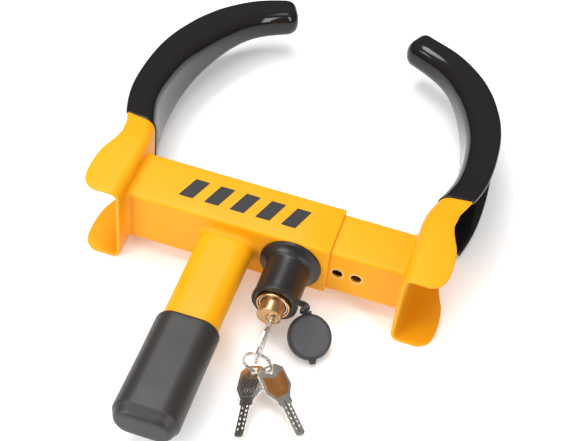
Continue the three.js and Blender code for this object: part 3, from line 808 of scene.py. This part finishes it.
def cap_band():
    band = [(17.95, -68.2), (18.8, -68.2)] + arc(18.8, -68.7, 0.55, 80, 0, 4)
    band += [(19.35, -69.8)] + arc(18.35, -70.7, 1.0, 20, -80, 5) + [(17.95, -71.7), (17.95, -68.2)]
    lathe("strap_band", band, (LOCK_X, 0, 0), (0, 1, 0), "frame", MOULDED, ("cap_band",), 128)


def strap():
    """The flexible strap from the band to the cap's edge."""
    neck = CAP_NECK - CAP_ACROSS * 2.5
    knots = [
        Vector((LOCK_X + 17.0, -69.6, 8.0)),
        Vector((LOCK_X + 22.5, -69.0, 6.5)),
        Vector((LOCK_X + 25.6, -66.8, 1.5)),
        Vector((LOCK_X + 25.3, -64.0, -5.5)),
        neck + CAP_UP * 1.5,
        neck - CAP_UP * 2.0,
    ]
    centre = smooth_curve(knots, 48)
    points = []
    for i, point in enumerate(centre):
        t = i / (len(centre) - 1)
        tangent = (centre[min(i + 1, len(centre) - 1)] - centre[max(i - 1, 0)]).normalized()
        width = Vector((0.1, 0.99, 0)).lerp(CAP_ACROSS, min(t * 1.3, 1))
        width = (width - tangent * width.dot(tangent)).normalized()
        thick = tangent.cross(width)
        flare = 0.8 + 0.3 * min(t * 3, 1) + 0.15 * max(0, 1 - (1 - t) * 7)
        outline = rounded_bar(2.8 * flare, 1.0, 0.6, 4)
        points += [at(*(point + width * p.x + thick * p.y)) for p in outline]
    faces = loft_faces(len(centre), len(points) // len(centre))
    piece = make_mesh("strap", points, faces, None, MOULDED, (), 50)
    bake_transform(piece)
    return piece


def smooth_curve(knots, steps):
    """Points along a smooth curve through the knots."""
    ends = [knots[0] * 2 - knots[1]] + list(knots) + [knots[-1] * 2 - knots[-2]]
    points = []
    spans = len(knots) - 1
    for i in range(steps + 1):
        u = min(i * spans / steps, spans - 1e-9)
        k = int(u)
        t = u - k
        a, b, c, d = ends[k : k + 4]
        square_part = (2 * a - 5 * b + 4 * c - d) * t * t
        cube_part = (3 * b - a - 3 * c + d) * t**3
        points.append(0.5 * (2 * b + (c - a) * t + square_part + cube_part))
    return points


# ---- Keys ----
def flat_plate(name, outlines, thick, bevel, place_matrix, body, material, replaces=(), smooth_angle=35):
    """A flat plate with rounded edges from closed outlines in millimetres: the first is its rim, the others
    are holes. The outline's plane is the key's length (first) and width (second)."""
    curve = bpy.data.curves.new(name, "CURVE")
    curve.dimensions = "2D"
    curve.fill_mode = "BOTH"
    curve.extrude = (thick / 2 - bevel) * MM
    curve.bevel_depth = bevel * MM
    curve.bevel_resolution = 3
    curve.offset = -bevel * MM
    for outline in outlines:
        spline = curve.splines.new("POLY")
        spline.points.add(len(outline) - 1)
        for point, p in zip(spline.points, outline):
            point.co = (p.x * MM, p.y * MM, 0, 1)
        spline.use_cyclic_u = True
    holder = bpy.data.objects.new(name + "_outline", curve)
    bpy.context.scene.collection.objects.link(holder)
    graph = bpy.context.evaluated_depsgraph_get()
    mesh = bpy.data.meshes.new_from_object(holder.evaluated_get(graph))
    bpy.data.objects.remove(holder)
    weld(mesh)
    mesh.transform(place_matrix)
    piece = bpy.data.objects.new(name, mesh)
    bpy.context.scene.collection.objects.link(piece)
    return dress(piece, body, material, replaces, smooth_angle)


def round_outline(x, y, radius, segments=28):
    angles = [2 * math.pi * i / segments for i in range(segments)]
    return [Vector((x + radius * math.cos(a), y + radius * math.sin(a))) for a in angles]


def key_outlines():
    """The key's rim and the hole in its bow."""
    half_blade = KEY["blade"] / 2
    length = KEY["length"]
    upper = [(0.3, 6.4, 2.0), (5.0, 11.9, 2.4), (20.0, 12.2, 2.4), (28.6, 6.4, 1.0), (33.4, 6.2, 0.8)]
    upper += [(34.4, half_blade, 0.5)]
    upper += [(length - 1.6, half_blade, 0.5), (length, 2.7, 0.5)]
    corners = upper + [(x, -y, r) for x, y, r in reversed(upper)]
    rim = rounded(corners, 4)
    eye = rounded([(1.8, -4.0, 1.1), (9.0, 0.0, 1.3), (1.8, 4.0, 1.1)][::-1], 5)
    return rim, eye


def key_dimples(matrix):
    """The cutting tools for two rows of dimples on each face of the blade."""
    tools = []
    for row, (start, step, width) in enumerate(((34.5, 3.6, 1.9), (36.0, 4.4, -1.9))):
        for i in range(6 if row == 0 else 5):
            for face in (-1, 1):
                along = start + step * i
                if along > KEY["length"] - 3:
                    continue
                tools.append((along, width, face))
    made = []
    for along, width, face in tools:
        build = bmesh.new()
        radius = (0.95 + 0.25 * ((along * 7) % 3) / 2) * MM
        bmesh.ops.create_uvsphere(build, u_segments=12, v_segments=8, radius=radius)
        for vert in build.verts:
            vert.co.z *= 0.8
            vert.co += Vector((along, width * face, face * KEY["thick"] / 2)) * MM
        made.append(make_tool(build, matrix))
    return made


def key(name, matrix, body, replaces, panel=None):
    """A flat dimple key: matrix takes its length to x, its width to y and its face to z."""
    rim, eye = key_outlines()
    finish = panel or NICKEL
    blank = flat_plate(name, [rim, eye], KEY["thick"], 0.22, Matrix(), body, NICKEL, replaces)
    # The dimples are cut in the key's own axes, before it is put in its place.
    cut(blank, *key_dimples(Matrix()))
    blank.data.transform(matrix)
    dress(blank, body, NICKEL, (), 35)
    groove_end = KEY["length"] - 2.5
    groove_top = [(30, 0.35, 0.2), (groove_end, 0.35, 0.2), (groove_end, -0.35, 0.2), (30, -0.35, 0.2)]
    bow = [(10.6, 2.4, 0.6), (6.4, 9.6, 1.2), (19.2, 10.2, 1.6), (26.4, 5.0, 1.0)]
    bow += [(26.4, -5.0, 1.0), (19.2, -10.2, 1.6), (6.4, -9.6, 1.2), (10.6, -2.4, 0.6)]
    for face, label in ((1, "front"), (-1, "back")):
        on_face = matrix @ Matrix.Translation((0, 0, face * KEY["thick"] / 2 * MM))
        # A thin black strip along each face of the blade: painted shade where the milled groove lies.
        flat_plate(f"{name}_line_{label}", [rounded(groove_top, 2)], 0.12, 0.02, on_face, body, GROOVE_SHADE)
        raised = flat_plate(f"{name}_panel_{label}", [rounded(bow, 4)], 0.4, 0.12, on_face, body, finish)
        raised.data.shade_smooth()
        for k, y in enumerate((-2.7, 2.7)):
            boss = [round_outline(21.0, y, 2.0), round_outline(21.0, y, 1.2)]
            flat_plate(f"{name}_boss_{label}_{k + 1}", boss, 0.62, 0.1, on_face, body, finish)


def axes_matrix(length, width, face, start):
    """The matrix from the key's own axes to the row frame, in metres."""
    matrix = Matrix((length, width, face)).transposed().to_4x4()
    matrix.translation = at(*start)
    return matrix


def on_ring(degrees):
    angle = math.radians(degrees)
    return RING["centre"] + Vector((math.cos(angle), 0, math.sin(angle))) * RING["radius"]


def spare_matrix(degrees, towards, face_angle):
    """A spare key hung at an angle round the ring, its blade pointing towards a point."""
    point = on_ring(degrees)
    length = (Vector(towards) - point).normalized()
    lean = math.radians(face_angle)
    face = Vector((math.cos(lean), 0, math.sin(lean)))
    face = (face - length * face.dot(length)).normalized()
    width = face.cross(length)
    return axes_matrix(length, width, face, point - length * KEY["eye_at"])


def key_ring():
    """A split ring: flat spring wire wound nearly twice round."""
    turns, steps = 1.86, 150
    points = []
    for i in range(steps + 1):
        t = i / steps
        angle = 2 * math.pi * turns * t + math.radians(200)
        climb = min(max((t - 0.44) / 0.12, 0), 1)
        y = -0.5 + 1.0 * climb * climb * (3 - 2 * climb)
        out = Vector((math.cos(angle), 0, math.sin(angle)))
        for p in rounded_bar(1.05, 0.46, 0.25, 3):
            lift = Vector((0, y + p.y, 0))
            points.append(at(*(RING["centre"] + out * (RING["radius"] + p.x) + lift)))
    faces = loft_faces(steps + 1, len(points) // (steps + 1))
    return make_mesh("split_ring", points, faces, "ring", NICKEL, ("key_ring",), 40)


def keys():
    inserted = axes_matrix(Vector((0, 1, 0)), Vector((0, 0, 1)), Vector((1, 0, 0)), (CORE_X, KEY["end"], 0))
    key("key_in_lock", inserted, "key", ("key_inserted",))
    key("spare_a", spare_matrix(-100, (153.6, -177.2, -35.8), 121), "spare_a", ("spare_key_a",))
    key("spare_b", spare_matrix(-26, (196.6, -157.8, -35.8), 76), "spare_b", ("spare_key_b",), COPPER)
    key_ring()


# ---- The rest of the CAD nodes ----
def dress_cad_nodes():
    finishes = {"lock_housing": STEEL, "spring_washer": STEEL, "lock_bolt": STEEL}
    finishes |= {"locking_lug": STEEL, "lock_cam": STEEL}
    for i in (1, 2, 3):
        finishes |= {f"key_pin_{i}": BRASS, f"driver_pin_{i}": STEEL, f"pin_spring_{i}": STEEL}
    for name, material in finishes.items():
        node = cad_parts[name]
        node.data.materials.clear()
        node.data.materials.append(material)


# ---- Stage, camera and light ----
def stage():
    """A white floor under the clamp."""
    size = 4.0
    mesh = bpy.data.meshes.new("floor")
    low = at(0, 0, FLOOR_Z).z - 0.0002
    corners = [(-size, -size, low), (size, -size, low), (size, size, low), (-size, size, low)]
    mesh.from_pydata(corners, [], [(0, 1, 2, 3)])
    floor = bpy.data.objects.new("floor", mesh)
    bpy.context.scene.collection.objects.link(floor)
    material, tree, shader = new_material("floor", (0.93, 0.93, 0.93), 0.9)
    shader.inputs["Emission Color"].default_value = (1, 1, 1, 1)
    shader.inputs["Emission Strength"].default_value = 0.2
    vary_color(tree, shader, add_noise(tree, 3), (0.93, 0.93, 0.93), (0.94, 0.94, 0.94))
    mesh.materials.append(material)


def softbox(name, position, aim, size, power, color=(1, 1, 1)):
    light = bpy.data.lights.new(name, "AREA")
    light.shape = "RECTANGLE"
    light.size, light.size_y = size
    light.energy = power
    light.color = color
    holder = bpy.data.objects.new(name, light)
    bpy.context.scene.collection.objects.link(holder)
    holder.location = Vector(position)
    holder.rotation_mode = "QUATERNION"
    holder.rotation_quaternion = (Vector(position) - Vector(aim)).to_track_quat("Z", "Y")


def lights():
    world = bpy.data.worlds.new("studio")
    bpy.context.scene.world = world
    world.use_nodes = True
    background = world.node_tree.nodes["Background"]
    tree = world.node_tree
    coords = tree.nodes.new("ShaderNodeTexCoord")
    split = tree.nodes.new("ShaderNodeSeparateXYZ")
    ramp = tree.nodes.new("ShaderNodeValToRGB")
    ramp.color_ramp.elements[0].position = 0.0
    ramp.color_ramp.elements[0].color = (0.10, 0.10, 0.10, 1)
    ramp.color_ramp.elements[1].position = 0.7
    ramp.color_ramp.elements[1].color = (0.9, 0.9, 0.9, 1)
    tree.links.new(coords.outputs["Generated"], split.inputs["Vector"])
    tree.links.new(split.outputs["Z"], ramp.inputs["Fac"])
    tree.links.new(ramp.outputs["Color"], background.inputs["Color"])
    background.inputs["Strength"].default_value = 0.34
    aim = at(120, 30, 0)
    softbox("overhead", aim + Vector((-0.1, -0.1, 1.7)), aim, (1.3, 1.1), 14)
    softbox("front_left", aim + Vector((-1.0, -1.4, 1.0)), aim, (0.9, 1.1), 20)
    softbox("front_right", aim + Vector((1.4, -0.9, 0.9)), aim, (0.4, 1.2), 12)
    left_tip = aim + Vector((0, 0.2, 0))
    right_tip = aim + Vector((0.07, 0.17, 0))
    softbox("tip_spot_left", aim + Vector((-0.25, 0.75, 1.3)), left_tip, (0.35, 0.25), 2.2)
    softbox("tip_spot_right", aim + Vector((-0.49, 0.41, 1.37)), right_tip, (0.62, 0.3), 5.5)
    softbox("tip_strip_right", aim + Vector((-0.68, -0.21, 0.99)), right_tip, (0.16, 0.5), 1.6)
    bpy.context.scene.view_settings.view_transform = "Standard"


def camera():
    """The photograph's view: from the front and above, a little to the right, and slightly rolled."""
    right = Vector((0.95130, 0.29567, 0.08717))
    up = Vector((-0.27647, 0.69333, 0.66548))
    ahead = Vector((-0.13632, 0.65717, -0.74131))
    aim, distance = Vector((133.494, 19.969, 0)), 1146.36
    data = bpy.data.cameras.new("camera")
    data.lens, data.sensor_width = 82.743, 36
    data.clip_start, data.clip_end = 0.05, 20
    holder = bpy.data.objects.new("camera", data)
    bpy.context.scene.collection.objects.link(holder)
    matrix = Matrix((right, up, -ahead)).transposed().to_4x4()
    matrix.translation = at(*(aim - ahead * distance))
    holder.matrix_world = matrix
    bpy.context.scene.camera = holder


def build():
    for side, prefix, body in ((-1, "fixed_jaw", "frame"), (1, "sliding_jaw", "slider")):
        pressed_jaw(side, prefix, body)
        dipped_sleeve(side, prefix, body)
    outer_tube()
    inner_tube()
    square_weld("fixed_jaw_weld", 0.0, 1, OUTER["half"], OUTER["corner"], 3.8, "frame")
    square_weld("sliding_jaw_weld", JAW_SPREAD, -1, INNER["half"], INNER["corner"], 3.4, "slider")
    handle_tube()
    handle_grip()
    decal()
    lock_body()
    lock_plunger()
    spring_coil()
    cap_band()
    dust_cap()
    strap()
    keys()
    dress_cad_nodes()


stage()
lights()
camera()
build()
